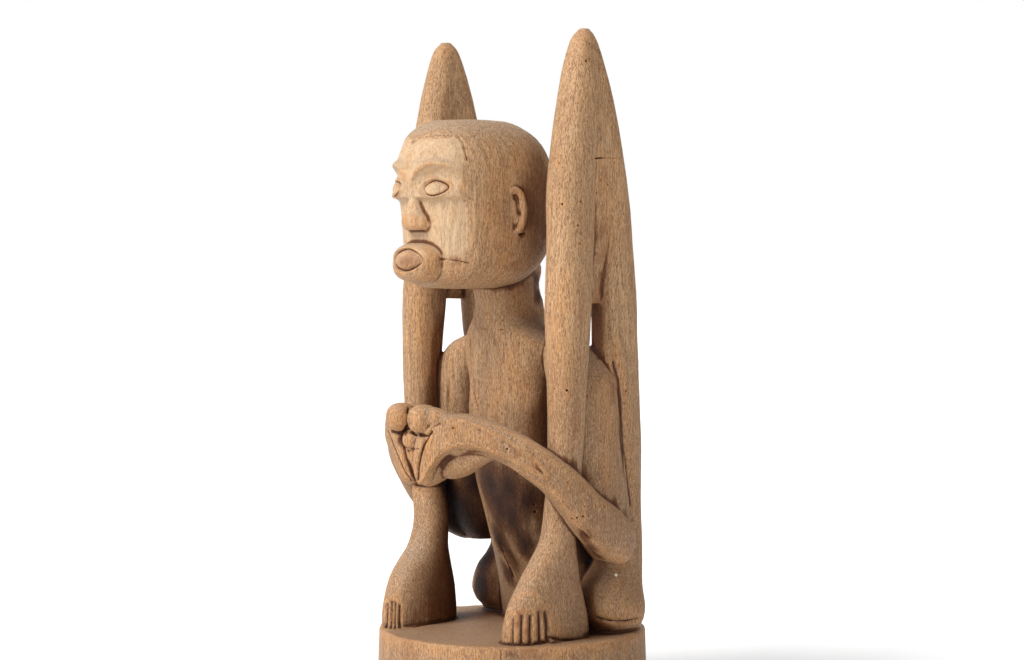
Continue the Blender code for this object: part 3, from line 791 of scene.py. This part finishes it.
def baseHits(tree, column, low, high, count):
    # points down the base's side, in the plane of sight of one column of the picture
    way = sightWay(column, view["tall"])
    way.z = 0
    found = []
    for z in np.linspace(high, low, count):
        start = Vector((viewPlace.x, viewPlace.y, z / 1000))
        place, normal = tree.ray_cast(start, way.normalized())[:2]
        if place is not None:
            found.append((place, normal))
    return found


def wearWood():
    tree = surfaceTree()
    cutters = []
    for x, y, radius in wear["holes"]:
        place, normal = sightPoint(tree, x, y)[:2]
        if place is not None:
            cutters.append(boreCutter(place, normal, radius * wear["holeShare"], wear["holeDeep"]))
            wornSpots.append((np.array(place) * 1000, np.array(normal), radius * wear["holeShare"]))
    for points, thick, deep in wear["cracks"]:
        hits = sightHits(tree, points)
        if len(hits) > 1:
            cutters.append(slitCutter(hits, thick, deep))
            for place, normal in hits:
                wornSpots.append((np.array(place) * 1000, np.array(normal), wear["edge"] + thick * 0.5))
    crack = wear["baseCrack"]
    hits = baseHits(tree, crack["column"], crack["to"], crack["from"], crack["steps"])
    cutters.append(slitCutter(hits, crack["thick"], crack["deep"]))
    marks = wear["marks"]
    for row in marks["rows"]:
        for x in np.linspace(marks["left"], marks["right"], marks["count"]):
            ends = [(x, row - marks["tall"] / 2), (x + marks["lean"], row + marks["tall"] / 2)]
            hits = sightHits(tree, ends, marks["gap"])
            if len(hits) > 1:
                cutters.append(slitCutter(hits, marks["thick"], marks["deep"]))
    tool = joinMeshes("wearCutter", cutters)
    cut = figure.modifiers.new("wear", "BOOLEAN")
    cut.operation = "DIFFERENCE"
    cut.solver = "MANIFOLD"
    cut.object = tool
    bake(figure)
    data = tool.data
    bpy.data.objects.remove(tool)
    bpy.data.meshes.remove(data)


wearWood()
print("holes and cracks cut:", len(figure.data.vertices), "points")


def easing():
    # a function that evens out values over the mesh as it is now, from each point to its neighbours
    ends = np.empty(len(figure.data.edges) * 2, np.int32)
    figure.data.edges.foreach_get("vertices", ends)
    a, b = ends.reshape(-1, 2).T
    both = np.concatenate([a, b])
    count = np.bincount(both, minlength=len(figure.data.vertices))[:, None].clip(1)

    def eased(values, rounds):
        for _ in range(rounds):
            total = []
            for k in range(values.shape[1]):
                passed = np.concatenate([values[b, k], values[a, k]])
                total.append(np.bincount(both, passed, len(values)))
            values = np.stack(total, axis=1) / count
        return values

    return eased


# How the wood's shut-in places, creases and ridges are found, in millimetres: shut-in places and creases take
# painted shade, ridges look worn.
light = {
    "outRounds": 10,
    "outAmount": 1.4,  # the share of full tone for each millimetre that a point stands out
    "skySeed": 7,
    "skyReach": 90,
    "skyLift": 0.5,
    "skyRounds": 2,
    "holeBelow": 0.35,
    "holeBeside": 0.3,
}


def measureOut():
    # how far each point stands out of the wood round it, while the points are still even
    places, normals = readPoints()
    out = ((places - easing()(places, light["outRounds"])) * normals).sum(1)
    tree = KDTree(len(places))
    for i, place in enumerate(places.tolist()):
        tree.insert(place, i)
    tree.balance()
    return tree, out


fullTree, fullOut = measureOut()
print("surface measured")


def thin():
    # fewest points where the wood is plain, more on the face, hands, toes and ears, and all round a hole
    places = readPoints()[0]
    fine = within(places, "face") | within(places, "hands") | within(places, "ears")
    fine |= within(places, "toes") & (np.hypot(places[:, 0], places[:, 1]) > toesOutside)
    group = figure.vertex_groups.new(name="plain")
    group.add(np.flatnonzero(~fine).tolist(), 1.0, "REPLACE")
    group.add(np.flatnonzero(fine).tolist(), fineness["plainShare"], "REPLACE")
    for hit, _, radius in wornSpots:
        near = np.abs(places - hit).max(axis=1) < radius + fineness["roundHoles"]
        group.add(np.flatnonzero(near).tolist(), 0.0, "REPLACE")
    triangles = sum(len(p.vertices) - 2 for p in figure.data.polygons)
    less = figure.modifiers.new("thin", "DECIMATE")
    less.ratio = min(1.0, fineness["keptTriangles"] / triangles)
    less.vertex_group = "plain"
    less.use_collapse_triangulate = True
    bake(figure)
    figure.vertex_groups.clear()


def cutFlat():
    shape = bmesh.new()
    shape.from_mesh(figure.data)
    parts = shape.verts[:] + shape.edges[:] + shape.faces[:]
    cut = bmesh.ops.bisect_plane(shape, geom=parts, plane_co=(0, 0, 0), plane_no=(0, 0, -1), clear_outer=True)
    edges = [e for e in cut["geom_cut"] if isinstance(e, bmesh.types.BMEdge)]
    bmesh.ops.contextual_create(shape, geom=edges)
    shape.to_mesh(figure.data)
    shape.free()


thin()
cutFlat()
print("thinned to", sum(len(p.vertices) - 2 for p in figure.data.polygons), "triangles")

# Colours seen in places, as columns and rows of the picture with a reach in millimetres.
stains = {
    "orange": [
        (404, 216, 2.5), (406, 222, 3.0), (414, 224, 2.6), (424, 223, 3.0), (428, 221, 2.2),
        (411, 184, 1.6), (411, 178, 1.8), (414, 172, 2.0), (419, 168, 2.0), (425, 164.5, 1.8),
        (432, 163.5, 1.6), (440, 164.5, 1.4),
        (464, 186, 2.4), (461, 188, 2.0), (450, 184, 2.2), (401, 172, 2.5), (405, 177, 2.0),
        (398, 247, 4.0), (412, 246, 4.0), (424, 249, 4.5), (433, 257, 4.5), (432, 268, 4.5),
        (420, 277, 4.0), (406, 279, 4.0), (397, 274, 3.5),
        (472, 213, 2.2), (521, 226, 3.0), (521, 194, 3.0), (395, 420, 3.5), (402, 420, 3.0),
        (401, 428, 3.0),
        (421, 428, 3.2), (411, 455, 3.6), (414, 466, 3.0), (455, 432, 6.0), (470, 436, 5.0),
        (490, 444, 5.0), (422, 470, 5.0), (428, 455, 5.0),
        (520, 455, 4.0), (535, 465, 4.0), (510, 370, 9.0), (525, 388, 6.0), (495, 395, 7.0),
        (606, 400, 7.0), (610, 430, 7.0), (605, 470, 6.0),
        (562, 300, 8.0), (556, 330, 8.0), (560, 360, 7.0), (425, 340, 8.0), (420, 300, 8.0),
        (428, 370, 6.0), (520, 165, 6.0), (520, 300, 6.0),
        (604, 180, 7.0), (606, 205, 7.0), (607, 230, 7.0), (490, 215, 8.0), (500, 185, 8.0),
        (505, 250, 9.0),
    ],
    # rust: reddish stains on the knot, cut marks and base, and painted shade along the crease between the
    # near shin and thigh
    "rustAndShade": [
        (440, 259, 1.6), (457, 260.5, 2.0), (413, 141, 1.4), (464, 148, 1.4), (467, 158, 1.2),
        (407, 260, 4.4), (403, 262, 3.6), (411, 259, 3.6), (613, 388, 3.6), (578, 402, 2.0),
        (577, 415, 2.0), (576, 428, 1.8), (602, 230, 4.0), (603, 255, 4.5), (600, 280, 5.0),
        (598, 300, 5.0),
        (517, 624, 1.8), (527, 631, 2.0), (540, 612, 1.8), (519, 614, 1.6), (410, 647, 3.2),
        (408, 655, 3.0), (402, 657, 3.2), (386, 650, 2.0), (470, 656, 2.4), (560, 656, 2.6),
        (592, 652, 2.4), (622, 648, 2.2), (526, 653, 2.4), (533, 651, 2.0), (512, 651, 1.8),
        (496, 446, 2.0), (453, 428, 1.8), (515, 268, 2.0), (534, 252, 1.8), (582, 318, 2.0),
        (573, 393, 2.0),
    ],
    # painted shade where shade falls: under the forearms and elbows, beside the neck, between the limbs and
    # in the hands' clefts
    "dark": [
        (455, 500, 10.0), (465, 515, 15.0), (475, 480, 10.0), (480, 530, 10.0), (455, 525, 11.0),
        (490, 485, 11.0), (508, 490, 10.0),
        (500, 505, 11.0), (512, 518, 8.0), (526, 500, 7.0), (500, 540, 7.0), (512, 560, 5.0),
        (508, 575, 5.0), (445, 485, 6.0),
        (485, 560, 8.0), (480, 585, 6.0), (525, 545, 6.0), (592, 558, 5.0), (584, 548, 5.0),
        (585, 535, 3.5), (591, 547, 4.0), (600, 557, 3.5),
        (538, 296, 4.0), (536, 280, 4.0), (622, 450, 4.0), (445, 390, 4.0),
        (460, 545, 8.0), (470, 560, 7.0), (402, 440, 3.0), (412, 432, 1.6), (406, 433, 1.6),
    ],
    # dim: light painted shade on the arm, buttock and base sides, and the forearm's duller wood
    "dim": [
        (455, 430, 13.5), (480, 438, 13.5), (505, 450, 13.5), (530, 462, 13.5), (550, 478, 15.0),
        (570, 496, 15.0), (590, 514, 15.0), (610, 530, 13.5),
        (610, 430, 18.0), (612, 460, 18.0), (600, 400, 15.0), (620, 600, 18.0), (608, 580, 15.0),
        (500, 655, 24.0), (540, 655, 24.0), (580, 653, 24.0),
        (620, 648, 24.0), (400, 655, 21.0), (420, 570, 15.0), (410, 600, 18.0), (440, 600, 18.0),
        (558, 370, 13.5), (560, 410, 13.5), (604, 180, 9.0), (607, 205, 9.0), (606, 230, 9.0),
        (540, 600, 18.0), (525, 625, 15.0), (560, 580, 15.0),
    ],
}
# How strong each colour is at its middle, and which channel of the mark holds it.
strength = {"orange": (1, 1.0), "rustAndShade": (2, 1.0), "dark": (3, 1.0), "dim": (3, 0.15)}
longStain = {"from": 4.5, "stretch": 0.6}  # broad stains run along the grain
paleFace = {"front": (52, 60), "low": (262, 272), "high": (334, 338), "half": (29, 33)}


# how open each point is to the sky; where it is shut in, the wood's colour gets painted shade
def openToSky(places, normals):
    tree = surfaceTree()
    turns = np.random.default_rng(light["skySeed"]).normal(size=(fineness["skyRays"], 3))
    turns /= np.linalg.norm(turns, axis=1)[:, None]
    openSky = np.zeros(len(places))
    starts = ((places + normals * light["skyLift"]) / 1000).tolist()
    for direction in turns:
        facing = normals @ direction
        ways = (direction * np.sign(facing)[:, None]).tolist()
        reach = light["skyReach"] / 1000
        clear = [tree.ray_cast(start, way, reach)[0] is None for start, way in zip(starts, ways)]
        openSky += np.array(clear) * np.abs(facing)
    # a point without a normal counts as open
    whole = np.abs(normals @ turns.T).sum(1)
    return np.where(whole > 0, openSky / np.where(whole > 0, whole, 1.0), 1.0)


def inHoles(places):
    inside = np.zeros(len(places), bool)
    for hit, outward, radius in wornSpots:
        near = np.flatnonzero(np.abs(places - hit).max(axis=1) < radius + wear["holeDeep"])
        away = places[near] - hit
        below = -away @ outward
        aside = np.linalg.norm(away + below[:, None] * outward, axis=1)
        inside[near[(below > light["holeBelow"]) & (aside < radius + light["holeBeside"])]] = True
    return inside


def keepMark(name, values):
    made = figure.data.color_attributes.new(name, "FLOAT_COLOR", "POINT")
    made.data.foreach_set("color", np.clip(values, 0, 1).astype(np.float32).ravel())


def markShade():
    # shade holds how open each point is to the sky and how far it stands out of the wood round it
    places, normals = readPoints()
    standsOut = np.array([fullOut[fullTree.find(place)[1]] for place in places.tolist()])
    openSky = openToSky(places, normals)
    inside = inHoles(places)
    openSky[inside] = np.median(openSky[~inside])
    # the insides of holes count as fully shut in, so they take the full painted shade
    openSky = np.where(inside, 0.0, easing()(openSky[:, None], light["skyRounds"])[:, 0])
    shade = np.ones((len(places), 4))
    shade[:, 0] = openSky
    shade[:, 1] = 0.5 + light["outAmount"] * standsOut
    keepMark("shade", shade)
    # tone holds how pale and orange it is, its rust, part of it painted shade, and in its last channel the
    # painted shade of the dark and dim stains and of hole insides
    tree = surfaceTree()
    tone = np.zeros((len(places), 4))
    x, y, z = places.T
    tone[:, 0] = ramp(-y, *paleFace["front"]) * (1 - ramp(np.abs(x), *paleFace["half"]))
    tone[:, 0] *= ramp(z, *paleFace["low"]) * (1 - ramp(z, *paleFace["high"]))
    for name, (channel, most) in strength.items():
        for column, row, reach in stains[name]:
            hit = sightPoint(tree, column, row)[0]
            if hit is not None:
                stretch = longStain["stretch"] if reach > longStain["from"] else 1
                far = np.linalg.norm((places - np.array(hit) * 1000) * np.array([1, 1, stretch]), axis=1)
                tone[:, channel] = np.maximum(tone[:, channel], most * np.exp(-(far / reach) ** 2))
    # painted shade: the insides of holes and cracks go fully dark
    tone[inside, 3] = 1.0
    keepMark("tone", tone)


markShade()
print("shade marked")

# wood: dry pale hardwood with its grain upright, rings round the log's middle and fine dark pores
wood = {
    "tan": (0.415, 0.232, 0.108),
    "light": (0.525, 0.322, 0.165),
    "pale": (0.60, 0.42, 0.255),
    "brown": (0.235, 0.120, 0.058),
    "orange": (0.53, 0.245, 0.080),
    "rustAndShade": (0.20, 0.066, 0.022),
    "grey": (0.36, 0.262, 0.180),
    "lowBrown": (0.250, 0.141, 0.071),
    # the next three are tints of painted shade: in creases, in places shut in from the sky, and under the
    # dark stains
    "creaseShade": (0.50, 0.36, 0.25),
    "closed": (0.46, 0.32, 0.22),
    "paintedShade": (0.29, 0.18, 0.10),
    "chalk": (0.85, 0.78, 0.66),
    "pore": (0.12, 0.052, 0.022),
    "ringWidth": 0.0019,
    "ringBend": 0.016,
    "specular": 0.30,
    "bump": 0.6,
    "bumpDeep": 0.00035,
}

# The wood's patterns: how each is stretched, its scale, detail and roughness.
grain = {
    "bend": ((1, 1, 0.25), 28, 3.0, 0.5),
    "fibre": ((1, 1, 0.06), 1100, 3.0, 0.64),
    "pore": ((1, 1, 0.20), 1700, 2.0, 0.62),
    "speck": ((1, 1, 0.35), 1500, 2.0, 0.62),
    "band": ((1, 1, 0.05), 190, 3.0, 0.6),
    "patch": ((1, 1, 0.55), 30, 4.0, 0.6),
    "blotch": ((1, 1, 0.35), 85, 3.0, 0.6),
}

# Where each pattern or mark starts to show and where it shows fully. Heights are in metres.
span = {
    "patch": (0.36, 0.64), "high": (0.09, 0.30), "blotch": (0.50, 0.74), "band": (0.46, 0.70),
    "rings": (0.44, 0.66), "up": (0.25, 0.85), "low": (0.060, 0.048), "worn": (0.55, 0.80),
    "fibre": (0.42, 0.62), "speck": (0.50, 0.64), "pore": (0.54, 0.66), "poreDeep": (0.55, 0.68),
    # the first two spans below set where painted shade falls, in creases and in places shut in from the sky;
    # the tint spans set how it deepens
    "creaseShade": (0.41, 0.0), "closed": (0.62, 0.06), "tint": (0.0, 0.55), "secondTint": (0.45, 1.0),
    "chalk": (0.0011, 0.0008), "plain": (0.0, 1.0, 1.0, 0.45), "rough": (0.3, 0.7, 0.52, 0.74),
}

# How much of what is under it each layer hides at most.
cover = {
    "lowBrown": 0.66, "pale": 0.85, "blotch": 0.40, "band": 0.40, "rings": 0.46, "grey": 0.65, "baseTopBrown": 0.60,
    "orange": 0.55, "worn": 0.50, "fibre": 0.62, "speck": 0.45, "pore": 0.62, "rustAndShade": 0.70,
}
relief = {"fibre": -0.7, "pore": -0.9, "rings": -0.5}


class Shading:
    # short names for adding and joining shader nodes

    def __init__(self, tree):
        self.tree = tree

    def add(self, kind, **values):
        node = self.tree.nodes.new(kind)
        for key, value in values.items():
            setattr(node, key, value)
        return node

    def feed(self, socket, value):
        if isinstance(value, (int, float)):
            socket.default_value = value
        elif isinstance(value, tuple):
            socket.default_value = (*value, 1.0) if len(socket.default_value) == 4 else value
        else:
            self.tree.links.new(value, socket)

    def noise(self, place, stretch, scale, detail=2.0, rough=0.5):
        moved = self.add("ShaderNodeVectorMath", operation="MULTIPLY")
        self.feed(moved.inputs[0], place)
        moved.inputs[1].default_value = stretch
        made = self.add("ShaderNodeTexNoise")
        self.feed(made.inputs["Vector"], moved.outputs[0])
        self.feed(made.inputs["Scale"], scale)
        self.feed(made.inputs["Detail"], detail)
        self.feed(made.inputs["Roughness"], rough)
        return made.outputs["Fac"]

    def fit(self, value, low, high, newLow=0.0, newHigh=1.0):
        made = self.add("ShaderNodeMapRange", interpolation_type="SMOOTHSTEP")
        for name, number in (("From Min", low), ("From Max", high), ("To Min", newLow), ("To Max", newHigh)):
            made.inputs[name].default_value = number
        self.feed(made.inputs["Value"], value)
        return made.outputs["Result"]

    def math(self, kind, first, second=0.0):
        made = self.add("ShaderNodeMath", operation=kind)
        self.feed(made.inputs[0], first)
        self.feed(made.inputs[1], second)
        return made.outputs[0]

    def mix(self, amount, first, second, way="MIX"):
        made = self.add("ShaderNodeMix", data_type="RGBA", blend_type=way)
        self.feed(made.inputs[0], amount)
        self.feed(made.inputs[6], first)
        self.feed(made.inputs[7], second)
        return made.outputs[2]

    def lay(self, below, colour, amount, *masks):
        # a colour over another one, where every mask lets it show
        for mask in masks:
            amount = self.math("MULTIPLY", mask, amount)
        return self.mix(amount, below, colour)


def makeWood():
    made = bpy.data.materials.new("paleWood")
    made.use_nodes = True
    n = Shading(made.node_tree)
    shader = made.node_tree.nodes["Principled BSDF"]
    place = n.add("ShaderNodeTexCoord").outputs["Object"]
    split = n.add("ShaderNodeSeparateXYZ")
    n.feed(split.inputs[0], place)
    facing = n.add("ShaderNodeSeparateXYZ")
    n.feed(facing.inputs[0], n.add("ShaderNodeNewGeometry").outputs["Normal"])
    marks = []
    for name in ("shade", "tone"):
        mark = n.add("ShaderNodeAttribute", attribute_name=name)
        channels = n.add("ShaderNodeSeparateColor")
        n.feed(channels.inputs[0], mark.outputs["Color"])
        marks += [channels.outputs[i] for i in range(3)]
    openSky, standsOut, _, pale, orange, rustAndShade = marks
    # the mark's alpha carries painted shade
    dark = mark.outputs["Alpha"]
    # the log's rings, bent a little by noise
    squares = [n.math("POWER", split.outputs[i], 2.0) for i in (0, 1)]
    away = n.math("SQRT", n.math("ADD", *squares))
    bend = n.math("MULTIPLY", n.noise(place, *grain["bend"]), wood["ringBend"])
    ring = n.add("ShaderNodeTexNoise", noise_dimensions="1D")
    n.feed(ring.inputs["W"], n.math("DIVIDE", n.math("ADD", away, bend), wood["ringWidth"]))
    n.feed(ring.inputs["Scale"], 1.0)
    n.feed(ring.inputs["Detail"], 3.0)
    rings = ring.outputs["Fac"]
    fibre, pore, speck = [n.noise(place, *grain[name]) for name in ("fibre", "pore", "speck")]
    band, patch, blotch = [n.noise(place, *grain[name]) for name in ("band", "patch", "blotch")]
    height = split.outputs[2]
    plain = n.fit(pale, *span["plain"])
    up = n.fit(facing.outputs[2], *span["up"])
    colour = n.mix(n.fit(patch, *span["patch"]), wood["tan"], wood["light"])
    # darker brown towards the bottom
    colour = n.lay(colour, wood["lowBrown"], cover["lowBrown"], n.math("SUBTRACT", 1.0, n.fit(height, *span["high"])))
    colour = n.lay(colour, wood["pale"], cover["pale"], pale)
    colour = n.lay(colour, wood["orange"], cover["blotch"], n.fit(blotch, *span["blotch"]))
    colour = n.lay(colour, wood["brown"], cover["band"], n.fit(band, *span["band"]), plain)
    colour = n.lay(colour, wood["brown"], cover["rings"], n.fit(rings, *span["rings"]), plain)
    colour = n.lay(colour, wood["grey"], cover["grey"], up)
    # darker brown on upward faces near the base top
    colour = n.lay(colour, wood["lowBrown"], cover["baseTopBrown"], n.fit(height, *span["low"]), up)
    colour = n.lay(colour, wood["orange"], cover["orange"], orange)
    colour = n.lay(colour, wood["orange"], cover["worn"], n.fit(standsOut, *span["worn"]))
    colour = n.lay(colour, wood["brown"], cover["fibre"], n.fit(fibre, *span["fibre"]), plain)
    colour = n.lay(colour, wood["pale"], cover["speck"], n.fit(speck, *span["speck"]))
    colour = n.lay(colour, wood["pore"], cover["pore"], n.fit(pore, *span["pore"]), plain)
    # rust stains, with painted shade along the crease between shin and thigh
    colour = n.lay(colour, wood["rustAndShade"], cover["rustAndShade"], rustAndShade)
    # painted shade: the colour is multiplied darker in creases, in places shut in from the sky, under the
    # dark and dim stains and inside holes
    creaseShade, closed = n.fit(standsOut, *span["creaseShade"]), n.fit(openSky, *span["closed"])
    for amount, tint in ((creaseShade, wood["creaseShade"]), (closed, wood["closed"]), (dark, wood["paintedShade"])):
        # each painted shade is laid on twice, so that the deepest places go darkest
        colour = n.mix(n.fit(amount, *span["tint"]), colour, tint, "MULTIPLY")
        colour = n.mix(n.fit(amount, *span["secondTint"]), colour, tint, "MULTIPLY")
    chalk = n.add("ShaderNodeVectorMath", operation="DISTANCE")
    n.feed(chalk.inputs[0], place)
    chalk.inputs[1].default_value = sightPoint(surfaceTree(), *wear["chalkSpeck"])[0]
    colour = n.mix(n.fit(chalk.outputs["Value"], *span["chalk"]), colour, wood["chalk"])
    n.feed(shader.inputs["Base Color"], colour)
    n.feed(shader.inputs["Roughness"], n.fit(fibre, *span["rough"]))
    shader.inputs["Specular IOR Level"].default_value = wood["specular"]
    poreDeep = n.math("MULTIPLY", n.fit(pore, *span["poreDeep"]), relief["pore"])
    raised = n.math("ADD", n.math("MULTIPLY", fibre, relief["fibre"]), poreDeep)
    raised = n.math("ADD", raised, n.math("MULTIPLY", rings, relief["rings"]))
    bump = n.add("ShaderNodeBump")
    bump.inputs["Strength"].default_value = wood["bump"]
    bump.inputs["Distance"].default_value = wood["bumpDeep"]
    n.feed(bump.inputs["Height"], raised)
    n.feed(shader.inputs["Normal"], bump.outputs["Normal"])
    return made


figure.data.materials.clear()
figure.data.materials.append(makeWood())
figure.data.shade_smooth()
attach(figure, "root")
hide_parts("carved_figure")
print("wood made")

# the pale floor and the soft studio lights
studio = {
    "floorRadius": 9.0,
    "floorColour": (0.93, 0.93, 0.93),
    "floorRoughness": 0.85,
    "floorSides": 96,
    "sky": 1.0,
    "darkSide": 0.16,
    "darkFrom": 0.26,
    "darkTo": 0.62,
    "sun": 2.7,
    "sunAngle": 28.0,
    "sunWay": (-1.05, 0.62, 1.15),
}


def makeFloor():
    shape = bmesh.new()
    bmesh.ops.create_circle(shape, cap_ends=True, radius=studio["floorRadius"], segments=studio["floorSides"])
    floor = keepMesh("studioFloor", shape)
    paint = bpy.data.materials.new("floorPaint")
    paint.use_nodes = True
    shader = paint.node_tree.nodes["Principled BSDF"]
    shader.inputs["Base Color"].default_value = (*studio["floorColour"], 1)
    shader.inputs["Roughness"].default_value = studio["floorRoughness"]
    floor.data.materials.append(paint)


def makeLights():
    right, near, up = studio["sunWay"]
    away = viewRight * right + viewNear * near + Vector((0, 0, up))
    lamp = bpy.data.lights.new("keyLight", "SUN")
    lamp.energy = studio["sun"]
    lamp.angle = math.radians(studio["sunAngle"])
    made = bpy.data.objects.new("keyLight", lamp)
    bpy.context.scene.collection.objects.link(made)
    made.location = away
    made.rotation_mode = "QUATERNION"
    made.rotation_quaternion = (-away).to_track_quat("-Z", "Y")
    # white walls all round, but for a dark one to the figure's right side in the picture
    world = bpy.data.worlds.new("studio")
    world.use_nodes = True
    n = Shading(world.node_tree)
    sky = world.node_tree.nodes["Background"]
    sky.inputs["Color"].default_value = (1, 1, 1, 1)
    toRight = n.add("ShaderNodeVectorMath", operation="DOT_PRODUCT")
    n.feed(toRight.inputs[0], n.add("ShaderNodeTexCoord").outputs["Generated"])
    toRight.inputs[1].default_value = viewRight
    walls = [studio[key] for key in ("darkFrom", "darkTo", "sky", "darkSide")]
    n.feed(sky.inputs["Strength"], n.fit(toRight.outputs["Value"], *walls))
    bpy.context.scene.world = world
    bpy.context.scene.view_settings.view_transform = "Standard"


makeFloor()
makeLights()
print("stage set")
